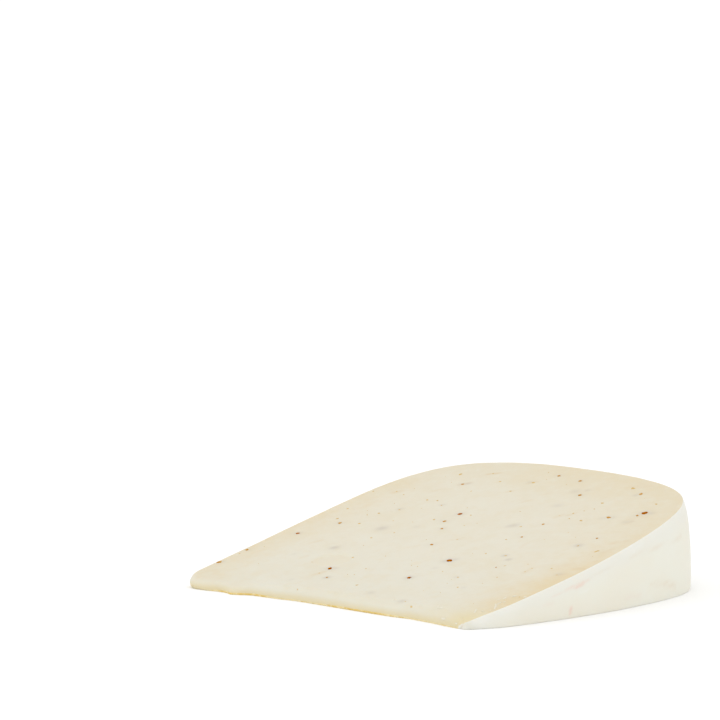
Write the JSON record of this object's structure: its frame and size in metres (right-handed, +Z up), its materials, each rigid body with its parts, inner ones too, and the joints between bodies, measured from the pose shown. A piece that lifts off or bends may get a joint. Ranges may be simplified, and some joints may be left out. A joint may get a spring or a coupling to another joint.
{
  "type": "truffle goat cheese wedge",
  "caption": "Flat wedge of semi-firm pale goat cheese with truffle flecks, cut from a tall round wheel, with smooth white rind round the rim, lying on a cut face.",
  "frame": {"origin": "middle of the footprint's box, on the surface that the wedge lies on", "axes": "+X from the thin edge to the rim, +Y across along the thin edge, +Z up"},
  "size_m": [0.113, 0.1046, 0.0274],
  "materials": {
    "cheese_paste": "smooth, slightly waxy cut cheese, ivory with a beige band along the rind and fine truffle flecks",
    "cheese_rind": "smooth cool off-white rind with faint streaks",
    "truffle_dark": "dark brown truffle fleck, matt",
    "truffle_brown": "orange-brown truffle fleck, matt",
    "truffle_pale": "tan truffle speck just under the surface"
  },
  "bodies": {
    "root": {"cheese_wedge": "cheese_paste"}
  },
  "joints": []
}
